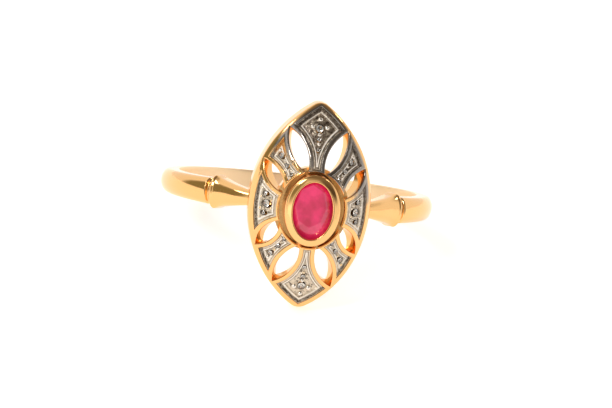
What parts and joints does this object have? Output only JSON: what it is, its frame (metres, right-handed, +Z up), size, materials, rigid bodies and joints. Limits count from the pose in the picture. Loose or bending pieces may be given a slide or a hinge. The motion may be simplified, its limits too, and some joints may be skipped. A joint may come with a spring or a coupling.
{
  "type": "navette ring",
  "caption": "Yellow gold navette ring lying on its side: domed pierced marquise head, white metal panels with small diamonds, oval red stone in a bezel.",
  "frame": {"origin": "centre of the ring's footprint box, on the surface that the ring lies on", "axes": "+Z up, -Y the way the head faces, +X to the head's right as one faces it; the finger hole's axis leans back from +Z by the rest angle"},
  "size_m": [0.0196, 0.022, 0.0142],
  "materials": {
    "yellow_gold": "polished",
    "red_stone": "polished, faceted",
    "white_metal": "engraved, bright cut",
    "diamond": "polished, faceted"
  },
  "bodies": {
    "root": {"gold_body": "yellow_gold", "ruby": "red_stone", "panel_n": "white_metal", "panel_s": "white_metal", "panel_e": "white_metal", "panel_w": "white_metal", "panel_ne": "white_metal", "panel_nw": "white_metal", "panel_se": "white_metal", "panel_sw": "white_metal", "diamond_n1": "diamond", "diamond_n2": "diamond", "diamond_n3": "diamond", "diamond_s1": "diamond", "diamond_s2": "diamond", "diamond_s3": "diamond", "diamond_e1": "diamond", "diamond_e2": "diamond", "diamond_e3": "diamond", "diamond_w1": "diamond", "diamond_w2": "diamond", "diamond_w3": "diamond", "diamond_ne1": "diamond", "diamond_ne2": "diamond", "diamond_ne3": "diamond", "diamond_nw1": "diamond", "diamond_nw2": "diamond", "diamond_nw3": "diamond", "diamond_se1": "diamond", "diamond_se2": "diamond", "diamond_se3": "diamond", "diamond_sw1": "diamond", "diamond_sw2": "diamond", "diamond_sw3": "diamond"}
  },
  "joints": []
}
